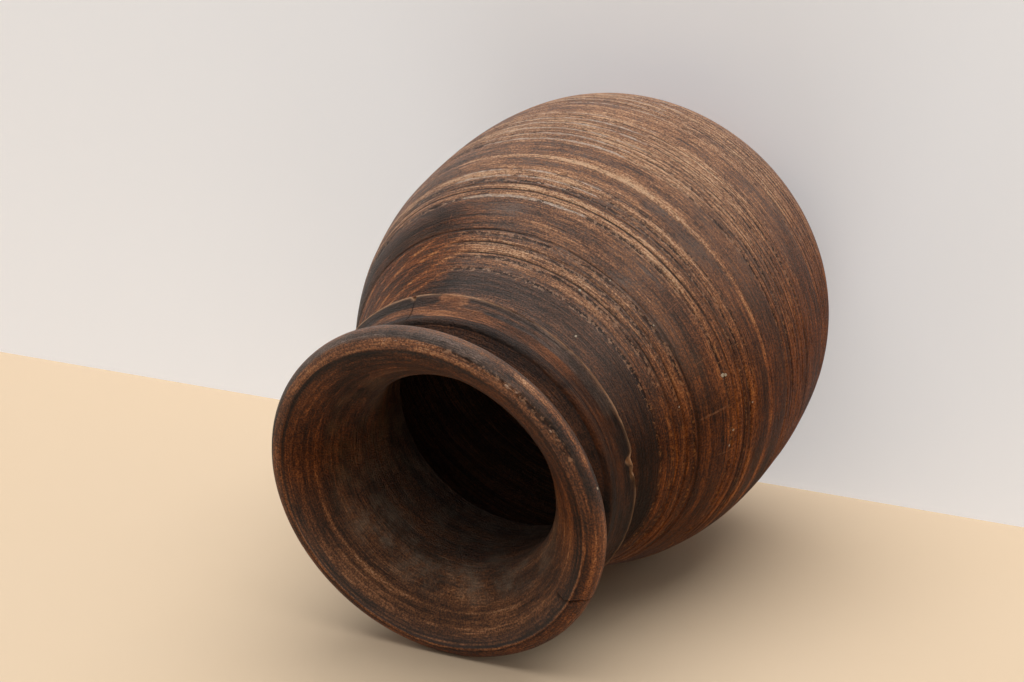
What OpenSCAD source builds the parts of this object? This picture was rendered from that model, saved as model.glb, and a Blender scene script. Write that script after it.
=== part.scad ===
// Turned hardwood vase: a hollow body, a separate neck with a flared mouth that
// is glued in by a long spigot, a collar ring that hides the joint, and a plug
// in the hole at the centre of the base. Millimetres, +Z up along the axis of
// the vase, origin at the centre of the foot's underside.

/* [Body] */
// Height from the foot to the crest of the lip
total_h = 178; // [172:1:190]
// Diameter of the belly, the widest place
belly_d = 147; // [140:1:156]
// Height of the belly above the foot
belly_z = 62; // [58:1:68]
// Diameter of the foot
foot_d = 79; // [72:1:84]
// Wall thickness at the belly
wall_t = 9; // [7:0.5:11]
// Thickness of the base
base_t = 13; // [11:0.5:16]

/* [Mouth and neck] */
// Outer diameter of the rim
rim_d = 110; // [108:1:114]
// Thickness of the lip, along the axis
lip_t = 9; // [8:0.5:10]
// How far the rounded lip stands out
lip_bulge = 4.6; // [4:0.2:5.2]
// Diameter of the throat at its narrowest
throat_d = 66; // [62:1:68]
// Diameter of the waist, in the cove between lip and collar
waist_d = 83; // [81:1:85]

/* [Collar] */
// Diameter of the collar's sharp lower edge
collar_d = 104; // [102:1:108]
// Diameter of the collar at its rounded top
collar_top_d = 97; // [96:1:99]
// Height of the collar ring
collar_h = 12; // [11:0.5:13]

/* [Joint] */
// Diameter of the spigot that joins the neck to the body
spigot_d = 86; // [85:0.5:87]
// Length of the spigot inside the body
spigot_len = 19; // [15:1:21]

/* [Foot] */
// Width of the ring that the vase stands on
foot_ring_w = 9; // [6:1:12]
// Depth of the hollow inside that ring
foot_hollow = 1.5; // [0.5:0.5:2.5]
// Diameter of the plug in the base
plug_d = 30; // [24:1:34]

/* [Hidden] */
$fn = 144;

// Heights, counted down from the middle of the lip
rim_z = total_h - lip_t / 2;
land_z = rim_z - 31;
edge_z = land_z + 2.5;
seat_z = land_z + collar_h;
waist_z = seat_z + 5.5;
spigot_z = land_z - spigot_len;

// Radii
rim_r = rim_d / 2;
lip_r = rim_r - lip_bulge;
belly_r = belly_d / 2;
foot_r = foot_d / 2;
throat_r = throat_d / 2;
waist_r = waist_d / 2;
spigot_r = spigot_d / 2;
land_r = spigot_r + 4;
seat_r = spigot_r + 3.5;
collar_r = collar_d / 2;
collar_top_r = collar_top_d / 2;
spigot_wall = 4;

cavity_foot_r = foot_r + 1;

// The throat: height of its narrowest place, radius of the bend above it, the
// slope of the funnel where it meets that bend, and the funnel's two handles
throat_z = seat_z + 2.5;
throat_bend = 12;
throat_slope = 38.7;
funnel_crown = 6;
funnel_handle = 9;

// Curve handles, as shares of the height that each curve spans
shoulder_span = land_z - belly_z;
shoulder_handle = 0.38;
belly_top_handle = 0.53;
belly_low_handle = 0.8;
foot_handle = 0.36;
shoulder_tilt = 19.5;
foot_tilt = 66;

// Points of a cubic Bezier curve from a to d, with b and c as its handles
function bezier(a, b, c, d, steps = 18) = [
    for (i = [0:steps])
        let (t = i / steps, s = 1 - t)
            s * s * s * a + 3 * s * s * t * b + 3 * s * t * t * c + t * t * t * d
];

// Points of an elliptical arc about centre, with radii size, from angle a0 to a1
function arc(centre, size, a0, a1, steps = 16) = [
    for (i = [0:steps])
        let (a = a0 + (a1 - a0) * i / steps)
            centre + [size[0] * cos(a), size[1] * sin(a)]
];

// A list without its first point, so that two curves share it only once
function tail(points) = [for (i = [1:len(points) - 1]) points[i]];

// Outside of the body, from the landing under the collar down to the foot
function shoulder_curve() = bezier(
    [land_r, land_z],
    [land_r, land_z] + shoulder_handle * shoulder_span * [sin(shoulder_tilt), -cos(shoulder_tilt)],
    [belly_r, belly_z + belly_top_handle * shoulder_span],
    [belly_r, belly_z],
    26
);

function lower_curve() = bezier(
    [belly_r, belly_z],
    [belly_r, belly_z * (1 - belly_low_handle)],
    [foot_r, 0] + foot_handle * belly_z * [sin(foot_tilt), cos(foot_tilt)],
    [foot_r, 0],
    26
);

// Inside of the body, from the base up to the bore for the spigot
function cavity_curve() = concat(
    bezier(
        [cavity_foot_r, base_t],
        [cavity_foot_r + 13, base_t + 2],
        [belly_r - wall_t, base_t + 16],
        [belly_r - wall_t, belly_z],
        20
    ),
    tail(bezier(
        [belly_r - wall_t, belly_z],
        [belly_r - wall_t, belly_z + 30],
        [spigot_r + 10, spigot_z - 14],
        [spigot_r, spigot_z],
        20
    ))
);

// Hollow vessel, open at the neck, with a bored base and a dished foot
module body() {
    color("#5a3d2b")
    rotate_extrude()
    polygon(concat(
        shoulder_curve(),
        tail(lower_curve()),
        [
            [foot_r - foot_ring_w, 0],
            [foot_r - foot_ring_w - 1, foot_hollow],
            [plug_d / 2, foot_hollow],
            [plug_d / 2, base_t]
        ],
        cavity_curve(),
        [[spigot_r, land_z]]
    ));
}

// Ring with a flared outer face and a sharp edge that overhangs the shoulder
module collar_ring() {
    color("#4a3226")
    rotate_extrude()
    polygon(concat(
        [
            [spigot_r, land_z],
            [land_r, land_z],
            [land_r + 1, land_z + 1],
            [collar_r, edge_z]
        ],
        tail(bezier(
            [collar_r, edge_z],
            [collar_r - 2, edge_z + 3],
            [collar_top_r, seat_z - 4],
            [collar_top_r, seat_z - 1.5],
            10
        )),
        tail(arc([collar_top_r - 1.5, seat_z - 1.5], [1.5, 1.5], 0, 90, 8)),
        [[spigot_r, seat_z]]
    ));
}

// Cove between the underside of the lip and the seat on the collar
function cove_curve() = concat(
    bezier(
        [lip_r, rim_z - lip_t / 2],
        [lip_r - 4, rim_z - lip_t / 2],
        [waist_r, waist_z + 5],
        [waist_r, waist_z],
        14
    ),
    tail(bezier(
        [waist_r, waist_z],
        [waist_r, waist_z - 3.5],
        [seat_r - 2.5, seat_z + 0.6],
        [seat_r, seat_z],
        10
    ))
);

// Inside of the mouth, from the crest of the lip down the funnel and the throat
function mouth_curve() =
    let (
        bend_centre = [throat_r + throat_bend, throat_z],
        bend_top = bend_centre + throat_bend * [-cos(throat_slope), sin(throat_slope)]
    )
    concat(
        bezier(
            [lip_r, rim_z + lip_t / 2],
            [lip_r - funnel_crown, rim_z + lip_t / 2],
            bend_top + funnel_handle * [sin(throat_slope), cos(throat_slope)],
            bend_top,
            18
        ),
        tail(arc(bend_centre, [throat_bend, throat_bend], 180 - throat_slope, 180, 10)),
        tail(bezier(
            [throat_r, throat_z],
            [throat_r, throat_z - 14],
            [spigot_r - spigot_wall - 2, spigot_z + 12],
            [spigot_r - spigot_wall, spigot_z],
            16
        ))
    );

// Flared mouth, waisted neck and the long spigot, turned as one piece
module neck() {
    color("#6a4630")
    rotate_extrude()
    polygon(concat(
        arc([lip_r, rim_z], [lip_bulge, lip_t / 2], 90, -90, 24),
        tail(cove_curve()),
        [
            [spigot_r, seat_z],
            [spigot_r, spigot_z],
            [spigot_r - spigot_wall, spigot_z]
        ],
        [for (i = [len(mouth_curve()) - 2:-1:1]) mouth_curve()[i]]
    ));
}

// Plug glued into the hole through the base, where the blank was held for turning
module base_plug() {
    color("#7a5a40")
    translate([0, 0, foot_hollow])
    cylinder(d = plug_d, h = base_t - foot_hollow);
}

body();
collar_ring();
neck();
base_plug();
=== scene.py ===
"""A turned hardwood vase: body, glued-in neck, collar ring and base plug.

Lengths in the shape code are millimetres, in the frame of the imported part: +Z up along
the axis, the foot's underside at zero. A `turn` is an angle round the vase in degrees,
clockwise seen from above the mouth, counted from the side that faces away from the table
it leans on. The wood's growth layers lie across the axis and its fibres run along X.
"""

import logging
import math
from dataclasses import dataclass
from enum import Enum
from itertools import product
from typing import Any, ClassVar, Iterable

import bpy
import numpy as np
from mathutils import Matrix, Vector


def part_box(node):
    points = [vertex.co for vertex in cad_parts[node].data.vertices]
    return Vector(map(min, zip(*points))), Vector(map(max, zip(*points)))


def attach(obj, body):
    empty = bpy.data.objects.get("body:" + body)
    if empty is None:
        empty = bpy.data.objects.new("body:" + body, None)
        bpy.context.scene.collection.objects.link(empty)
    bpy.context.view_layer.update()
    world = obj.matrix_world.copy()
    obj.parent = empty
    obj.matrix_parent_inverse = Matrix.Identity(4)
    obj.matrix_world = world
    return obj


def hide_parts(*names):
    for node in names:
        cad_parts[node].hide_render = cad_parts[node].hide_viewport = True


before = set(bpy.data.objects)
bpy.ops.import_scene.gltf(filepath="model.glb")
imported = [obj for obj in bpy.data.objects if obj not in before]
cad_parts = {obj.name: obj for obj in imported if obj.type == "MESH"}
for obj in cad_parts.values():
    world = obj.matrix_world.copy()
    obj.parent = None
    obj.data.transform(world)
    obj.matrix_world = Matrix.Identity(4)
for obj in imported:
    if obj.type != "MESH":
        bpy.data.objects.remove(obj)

MM = 0.001  # metres in a millimetre
TURN_START = -45.0  # azimuth of turn 0, in degrees
SHARP_FROM = 50.0  # an edge that bends more than this many degrees is shaded sharp
LOG = logging.getLogger("vase")


# ---------------------------------------------------------------- curves and fields


def bezier(a: tuple, b: tuple, c: tuple, d: tuple, steps: int = 60) -> np.ndarray:
    """Points of a cubic curve from a to d.

    The weights are (1-t)^3, 3(1-t)^2 t, 3(1-t) t^2 and t^3 for t from 0 to 1.

    Args:
        a: First point, as (radius, height).
        b: Handle of the first point.
        c: Handle of the last point.
        d: Last point.
        steps: Number of stretches.

    Returns:
        Array of shape (steps + 1, 2).
    """
    t = np.linspace(0.0, 1.0, steps + 1)[:, None]
    s = 1.0 - t
    a, b, c, d = (np.asarray(p, float) for p in (a, b, c, d))
    return s**3 * a + 3 * s * s * t * b + 3 * s * t * t * c + t**3 * d


def arc(centre: tuple, size: tuple, start: float, stop: float, steps: int = 40) -> np.ndarray:
    """Points of an elliptical arc: centre + (size0 cos a, size1 sin a).

    Args:
        centre: Centre, as (radius, height).
        size: The two half axes.
        start: First angle in degrees.
        stop: Last angle in degrees.
        steps: Number of stretches.

    Returns:
        Array of shape (steps + 1, 2).
    """
    a = np.radians(np.linspace(start, stop, steps + 1))
    return np.stack([centre[0] + size[0] * np.cos(a), centre[1] + size[1] * np.sin(a)], axis=1)


def smooth(low: float, high: float, value: np.ndarray) -> np.ndarray:
    """Ramp from 0 at low to 1 at high, 3t^2 - 2t^3 in between."""
    t = np.clip((value - low) / (high - low), 0.0, 1.0)
    return t * t * (3.0 - 2.0 * t)


def bump(middle: float, width: float, value: np.ndarray) -> np.ndarray:
    """Bell of height 1 at middle: exp(-((value - middle) / half width)^2)."""
    return np.exp(-(((value - middle) / (0.5 * width)) ** 2))


def between(low: float, high: float, soft: float, value: np.ndarray) -> np.ndarray:
    """1 from low to high, fading to 0 over the length soft outside them."""
    return smooth(low - soft, low, value) * (1.0 - smooth(high, high + soft, value))


def sector(low: float, high: float, soft: float, turns: np.ndarray) -> np.ndarray:
    """1 on the turns from low to high, fading to 0 over soft degrees, also across the back.

    The distance to the sector's middle is taken the short way round.

    Args:
        low: First turn of the sector, in degrees.
        high: Last turn of the sector.
        soft: Width of the fade on either side.
        turns: The turn of each point.

    Returns:
        Array of shares from 0 to 1.
    """
    away = np.abs((turns - 0.5 * (low + high) + 180.0) % 360.0 - 180.0)
    half = 0.5 * (high - low)
    return 1.0 - smooth(half, half + soft, away)


class RandomField:
    """A smooth random field in space, from -1 to 1, the same on every run."""

    SIZE = 24

    def __init__(self, seed: int) -> None:
        """Fills the lattice from a fixed seed."""
        self.lattice = np.random.default_rng(seed).uniform(-1.0, 1.0, (self.SIZE,) * 3)

    def at(self, points: np.ndarray, grain: tuple[float, float, float]) -> np.ndarray:
        """Value at each point, mixed from the eight lattice corners around it.

        Args:
            points: Array (..., 3) in millimetres.
            grain: Length of one lattice step along each axis, in millimetres.

        Returns:
            Array of the points' shape without its last axis.
        """
        p = points / np.asarray(grain)
        base = np.floor(p).astype(int)
        t = p - base
        t = t * t * (3.0 - 2.0 * t)
        total = np.zeros(points.shape[:-1])
        for corner in product((0, 1), repeat=3):
            i = (base + corner) % self.SIZE
            weight = np.prod(np.where(corner, t, 1.0 - t), axis=-1)
            total += weight * self.lattice[i[..., 0], i[..., 1], i[..., 2]]
        return total


# ---------------------------------------------------------------- turned surfaces


class Kind(Enum):
    """How a stretch of outline is treated."""

    OUTSIDE = "outside"
    INSIDE = "inside"
    JOINT = "joint"


@dataclass
class Stretch:
    """A stretch of outline with an even spacing of rows."""

    points: np.ndarray
    pitch: float
    kind: Kind = Kind.OUTSIDE


@dataclass
class Turning:
    """A surface of revolution as a grid, rows along the outline, columns round it."""

    stretches: list[Stretch]
    columns: int
    fine_turns: tuple[tuple[float, float, float], ...] = ()
    closed: bool = True
    FINEST: ClassVar[int] = 2880

    def __post_init__(self) -> None:
        """Lays out rows and columns and finds each grid point's place and normal."""
        rows, normals, kinds = [], [], []
        for stretch in self.stretches:
            points, normal = self.walk(stretch)
            rows.append(points)
            normals.append(normal)
            kinds += [stretch.kind] * len(points)
        outline, normal = np.concatenate(rows), np.concatenate(normals)
        self.kinds = np.array([k.value for k in kinds])
        self.turn = self.lay_columns()
        angle = np.radians(TURN_START - self.turn)
        self.radius = np.repeat(outline[:, :1], len(self.turn), axis=1)
        self.height = np.repeat(outline[:, 1:], len(self.turn), axis=1)
        around = np.stack([np.cos(angle), np.sin(angle)], axis=1)[None]
        self.place = self.lift(self.radius[..., None] * around, self.height)
        self.normal = self.lift(normal[:, None, :1] * around, np.repeat(normal[:, 1:], len(angle), axis=1))
        self.turns = np.repeat(self.turn[None], len(outline), axis=0)
        steps = np.linalg.norm(np.diff(outline, axis=0, prepend=outline[:1]), axis=1)
        self.along = np.repeat(np.cumsum(steps)[:, None], len(self.turn), axis=1)

    @staticmethod
    def lift(flat: np.ndarray, height: np.ndarray) -> np.ndarray:
        """Joins (x, y) pairs and heights into points of three numbers."""
        return np.concatenate([flat, height[..., None]], axis=2)

    @staticmethod
    def walk(stretch: Stretch) -> tuple[np.ndarray, np.ndarray]:
        """Evenly spaced points along a stretch, without its last, and their normals.

        The normal of a stretch with direction (dr, dz) is (-dz, dr).

        Args:
            stretch: The stretch to walk along.

        Returns:
            Two arrays of shape (n, 2): points and unit normals.
        """
        step = np.linalg.norm(np.diff(stretch.points, axis=0), axis=1)
        length = np.concatenate([[0.0], np.cumsum(step)])
        count = max(1, round(length[-1] / stretch.pitch))
        at = np.linspace(0.0, length[-1], count + 1)
        points = np.stack([np.interp(at, length, stretch.points[:, k]) for k in (0, 1)], axis=1)
        tangent = np.gradient(points, axis=0)
        normal = np.stack([-tangent[:, 1], tangent[:, 0]], axis=1)
        normal /= np.linalg.norm(normal, axis=1, keepdims=True)
        return points[:-1], normal[:-1]

    def with_height(self, value: np.ndarray) -> np.ndarray:
        """The points' places with their heights replaced by another value."""
        return self.lift(self.place[..., :2], value)

    def lay_columns(self) -> np.ndarray:
        """Turns of the columns: even, and closer together about each fine turn.

        The density of columns is 1 plus a bell for each fine turn, and the columns
        stand at even steps of its running total.

        Returns:
            Array of the columns' turns in degrees.
        """
        turn = np.linspace(-180.0, 180.0, self.FINEST + 1)[:-1]
        density = np.ones_like(turn)
        for middle, width, extra in self.fine_turns:
            density += extra * bump(middle, width, turn)
        total = np.concatenate([[0.0], np.cumsum(density)])
        at = np.linspace(0.0, total[-1], self.columns + 1)[:-1]
        return np.interp(at, total, np.append(turn, 180.0))

    def weight(self, *kinds: Kind, fade: int = 4) -> np.ndarray:
        """1 on rows of the given kinds, falling to 0 over the rows next to others.

        Args:
            kinds: The kinds of stretch that count.
            fade: Number of rows that the fall takes.

        Returns:
            Array of one weight for each row, as a column.
        """
        on = np.isin(self.kinds, [k.value for k in kinds]).astype(float)
        soft = on.copy()
        for shift in range(1, fade):
            soft += np.minimum(np.roll(on, shift), np.roll(on, -shift))
        return (on * soft / fade)[:, None]

    def mesh(self, name: str, out: np.ndarray, marks: dict[str, np.ndarray]) -> bpy.types.Object:
        """Makes the closed mesh, moved out along its normals.

        Each quad joins a point to its neighbours in the next column and the next row.
        An outline that isn't closed gets a fan of triangles round a point on the axis at
        either end.

        Args:
            name: Name of the object.
            out: How far each grid point moves out, in millimetres.
            marks: Values for the finish at each grid point, one or three numbers each.

        Returns:
            The object, at the origin.
        """
        place = (self.place + self.normal * out[..., None]) * MM
        rows, columns = place.shape[:2]
        index = np.arange(rows * columns).reshape(rows, columns)
        below = np.roll(index, -1, axis=0)
        quads = np.stack([index, np.roll(index, -1, axis=1), np.roll(below, -1, axis=1), below], axis=2)
        points = place.reshape(rows * columns, 3)
        values = {mark: value.reshape(rows * columns, -1) for mark, value in marks.items()}
        if self.closed:
            return build_mesh(name, points, [*quads.reshape(-1, 4)], values)
        first, last = index[0], index[-1]
        ends = np.array([[0.0, 0.0, place[0, 0, 2]], [0.0, 0.0, place[-1, 0, 2]]])
        top = np.stack([np.full(columns, rows * columns), np.roll(first, -1), first], axis=1)
        foot = np.stack([np.full(columns, rows * columns + 1), last, np.roll(last, -1)], axis=1)
        values = {mark: np.concatenate([value, value[[first[0], last[0]]]]) for mark, value in values.items()}
        faces = [*quads[:-1].reshape(-1, 4), *top, *foot]
        return build_mesh(name, np.concatenate([points, ends]), faces, values)


def build_mesh(name: str, points: np.ndarray, faces: list, marks: dict[str, np.ndarray]) -> bpy.types.Object:
    """Puts points, faces and marks into a new smooth object.

    Args:
        name: Name of the object.
        points: Array (n, 3) in metres.
        faces: Point numbers of each face.
        marks: Array (n, 1) or (n, 3) of values at each point, by name.

    Returns:
        The object, linked to the scene.
    """
    mesh = bpy.data.meshes.new(name)
    mesh.from_pydata(points, [], faces)
    mesh.validate()
    for mark, values in marks.items():
        vector = values.shape[1] == 3
        layer = mesh.attributes.new(mark, "FLOAT_VECTOR" if vector else "FLOAT", "POINT")
        layer.data.foreach_set("vector" if vector else "value", np.ravel(values).astype(np.float32))
    mesh.set_sharp_from_angle(angle=math.radians(SHARP_FROM))
    piece = bpy.data.objects.new(name, mesh)
    bpy.context.scene.collection.objects.link(piece)
    return piece


# ---------------------------------------------------------------- the wood


@dataclass(frozen=True)
class Groove:
    """A row of open pores worn into a groove: height, width, depth, and how whole it is."""

    height: float
    width: float
    depth: float
    whole: float = 0.35


@dataclass(frozen=True)
class Timber:
    """The wood's growth layers: bands of tone by height, grooves, and the layers' bow."""

    bands: tuple[tuple[float, float], ...]
    grooves: tuple[Groove, ...]
    heart_distance: float = 1650.0
    seed: int = 1
    whole_from: float = 0.6

    def layer(self, place: np.ndarray, radius: np.ndarray) -> np.ndarray:
        """Height of the growth layer at each place, read off on the front of the vase.

        Layers are cylinders round a heart line along X, far above: a layer rises by
        y^2 / (2 x heart distance). The front is where y is 0.94 of the radius. Two
        random fields make the layers wander.

        Args:
            place: Array (..., 3) in millimetres.
            radius: The outer radius at each place.

        Returns:
            Array of heights in millimetres.
        """
        y = place[..., 1]
        bow = (y**2 - (0.94 * radius) ** 2) / (2.0 * self.heart_distance)
        slow = RandomField(self.seed).at(place, (46.0, 30.0, 17.0))
        quick = RandomField(self.seed + 1).at(place, (13.0, 9.0, 5.0))
        return place[..., 2] - bow + 0.25 * slow + 0.13 * quick

    def tone(self, layer: np.ndarray) -> np.ndarray:
        """Tone of the wood by layer, 0 dark to 1 bright, straight between the bands' stops.

        Args:
            layer: Height of the layer at each place.

        Returns:
            Array of tones.
        """
        height, tone = np.array(self.bands).T
        order = np.argsort(height)
        return np.interp(layer, height[order], tone[order])

    def rows(self, layer: np.ndarray) -> np.ndarray:
        """How much of a crumbling pore row each layer is: the bells of the broken grooves."""
        share = [bump(g.height, 1.5 * g.width, layer) for g in self.grooves if g.whole < self.whole_from]
        return np.max(share, axis=0) if share else np.zeros_like(layer)

    def lines(self, layer: np.ndarray) -> tuple[np.ndarray, np.ndarray]:
        """Distance to the nearest whole groove, and how near it is.

        Args:
            layer: Height of the layer at each place.

        Returns:
            Two arrays: the signed distance in groove widths, and 1 beside a groove
            falling to 0 half way to the next.
        """
        whole = [g for g in self.grooves if g.whole >= self.whole_from]
        if not whole:
            return np.ones_like(layer), np.zeros_like(layer)
        away = np.stack([layer - g.height for g in whole])
        nearest = np.argmin(np.abs(away), axis=0)[None]
        away = np.take_along_axis(away, nearest, axis=0)[0]
        width = np.array([g.width for g in whole])[nearest[0]]
        return away / width, 1.0 - smooth(0.8, 1.1, np.abs(away))

    def worn(self, place: np.ndarray, layer: np.ndarray) -> np.ndarray:
        """Depth of the worn grooves in millimetres.

        Each groove is a bell across its height. Its pores are cells of a random field
        drawn out along the fibres: where the field is low the groove is bridged.

        Args:
            place: Array (..., 3) in millimetres.
            layer: Height of the layer at each place.

        Returns:
            Array of depths.
        """
        pores = RandomField(self.seed + 2).at(place, (3.8, 2.2, 1.7))
        pores += 0.6 * RandomField(self.seed + 3).at(place, (9.0, 5.0, 3.0))
        depth = np.zeros_like(layer)
        for groove in self.grooves:
            cell = smooth(-0.5, 0.35, pores + 1.2 * (groove.whole - 0.35))
            share = groove.whole + (1.0 - groove.whole) * cell
            bell = bump(groove.height, groove.width + 0.35, layer)
            depth = np.maximum(depth, groove.depth * share * bell)
        return depth


# The tone at each height, from 0 dark to 1 bright.
BODY_BANDS = (
    (143.0, 0.30), (138.0, 0.30), (136.5, 0.18), (134.5, 0.14), (131.0, 0.15), (129.8, 0.27),
    (128.4, 0.37), (127.8, 0.47), (125.6, 0.49), (125.0, 0.38), (124.2, 0.49), (123.2, 0.58),
    (121.6, 0.57), (120.8, 0.58), (119.6, 0.59), (118.2, 0.56), (117.6, 0.46), (116.0, 0.38),
    (115.4, 0.39), (113.4, 0.38), (112.4, 0.47), (110.8, 0.34), (108.6, 0.38), (107.2, 0.35),
    (105.9, 0.48), (105.0, 0.47), (104.2, 0.40), (103.6, 0.65), (102.4, 0.65), (101.9, 0.38),
    (101.2, 0.59), (100.0, 0.62), (99.5, 0.50), (99.0, 0.41), (97.6, 0.39), (97.0, 0.50),
    (96.2, 0.38), (95.4, 0.59), (94.3, 0.75), (93.6, 0.61), (92.9, 0.39), (90.0, 0.38),
    (87.4, 0.38), (86.8, 0.50), (86.2, 0.71), (85.2, 0.73), (84.7, 0.49), (82.0, 0.36),
    (77.6, 0.38), (76.6, 0.46), (75.6, 0.46), (74.6, 0.52), (72.4, 0.57), (71.6, 0.40),
    (70.8, 0.59), (68.4, 0.59), (67.6, 0.48), (66.8, 0.61), (64.2, 0.57), (63.4, 0.46),
    (62.6, 0.57), (60.2, 0.58), (59.2, 0.38), (58.4, 0.56), (56.0, 0.56), (54.6, 0.50),
    (52.0, 0.43), (46.0, 0.45), (44.4, 0.52), (43.0, 0.55), (42.0, 0.49), (40.6, 0.60),
    (38.4, 0.51), (36.6, 0.62), (34.6, 0.53), (32.6, 0.62), (30.2, 0.51), (28.4, 0.60),
    (26.2, 0.53), (24.4, 0.62), (22.0, 0.51), (20.0, 0.59), (16.0, 0.43), (12.0, 0.61),
    (8.0, 0.49), (4.0, 0.59), (0.0, 0.49),
)

BODY_GROOVES = (
    Groove(129.2, 1.0, 0.20, 0.15), Groove(124.9, 1.2, 0.28, 0.15), Groove(123.7, 0.55, 0.26, 0.9),
    Groove(121.0, 0.8, 0.16, 0.1), Groove(120.2, 0.6, 0.32, 0.95), Groove(117.4, 1.0, 0.28, 0.15),
    Groove(116.2, 0.6, 0.28, 0.85), Groove(104.4, 1.0, 0.34, 0.2), Groove(101.8, 0.5, 0.22, 0.85),
    Groove(99.2, 0.5, 0.20, 0.7), Groove(98.1, 0.6, 0.16, 0.3), Groove(96.0, 0.8, 0.30, 0.4),
    Groove(93.2, 0.5, 0.12, 0.3), Groove(75.4, 0.9, 0.30, 0.3), Groove(73.4, 0.4, 0.08, 0.6),
    Groove(71.7, 0.8, 0.30, 0.4), Groove(69.5, 0.4, 0.08, 0.6), Groove(67.6, 0.8, 0.30, 0.4),
    Groove(65.5, 0.4, 0.08, 0.6), Groove(63.4, 0.8, 0.28, 0.3), Groove(61.4, 0.4, 0.08, 0.6),
    Groove(59.3, 0.8, 0.28, 0.5), Groove(57.2, 0.4, 0.10, 0.6), Groove(54.6, 0.5, 0.10, 0.4),
    Groove(43.6, 0.7, 0.16, 0.5), Groove(41.6, 0.5, 0.14, 0.7), Groove(39.2, 0.7, 0.16, 0.5),
    Groove(37.4, 0.5, 0.14, 0.7), Groove(35.4, 0.7, 0.16, 0.5), Groove(33.6, 0.5, 0.14, 0.7),
    Groove(31.2, 0.7, 0.16, 0.5), Groove(29.2, 0.5, 0.14, 0.7), Groove(27.0, 0.7, 0.16, 0.5),
    Groove(23.2, 0.6, 0.16, 0.7), Groove(18.0, 0.7, 0.18, 0.5), Groove(14.2, 0.6, 0.16, 0.7),
    Groove(9.6, 0.7, 0.16, 0.5), Groove(5.0, 0.6, 0.14, 0.7),
)

NECK_BANDS = (
    (179.0, 0.42), (178.1, 0.40), (177.6, 0.22), (177.0, 0.32), (176.2, 0.38), (175.4, 0.18),
    (174.7, 0.32), (174.0, 0.16), (173.2, 0.30), (172.6, 0.46), (171.9, 0.24), (170.0, 0.22),
    (168.4, 0.32), (166.0, 0.22), (163.5, 0.28), (161.0, 0.18), (158.0, 0.16), (150.0, 0.12),
    (140.0, 0.08), (123.0, 0.10),
)

# The tone at each angle round the lip's cross section, on the side away from the table and towards it.
LIP_FRONT = (
    (-40.0, 0.30), (-14.0, 0.36), (10.0, 0.42), (20.0, 0.34), (28.0, 0.17), (46.0, 0.17), (52.0, 0.34),
    (56.0, 0.60), (61.0, 0.62), (65.0, 0.44), (72.0, 0.56), (86.0, 0.58), (94.0, 0.46), (98.0, 0.17),
    (106.0, 0.17), (111.0, 0.34), (124.0, 0.34),
)

LIP_BACK = (
    (-40.0, 0.42), (10.0, 0.52), (24.0, 0.46), (33.0, 0.30), (42.0, 0.46), (62.0, 0.48), (76.0, 0.38),
    (82.0, 0.20), (86.0, 0.62), (94.0, 0.64), (97.0, 0.18), (103.0, 0.12), (108.0, 0.46), (113.0, 0.42),
    (117.0, 0.14), (123.0, 0.40), (134.0, 0.30),
)

NECK_GROOVES = (
    Groove(175.1, 0.7, 0.12, 0.8), Groove(173.6, 0.7, 0.12, 0.8), Groove(171.6, 0.8, 0.10, 0.8),
    Groove(168.0, 0.9, 0.08, 0.7),
)

COLLAR_BANDS = (
    (156.0, 0.14), (152.6, 0.16), (151.8, 0.30), (151.2, 0.56), (148.6, 0.60), (147.9, 0.30),
    (147.2, 0.16), (145.6, 0.20), (145.0, 0.50), (144.4, 0.30), (142.0, 0.16),
)


# ---------------------------------------------------------------- finishes


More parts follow.
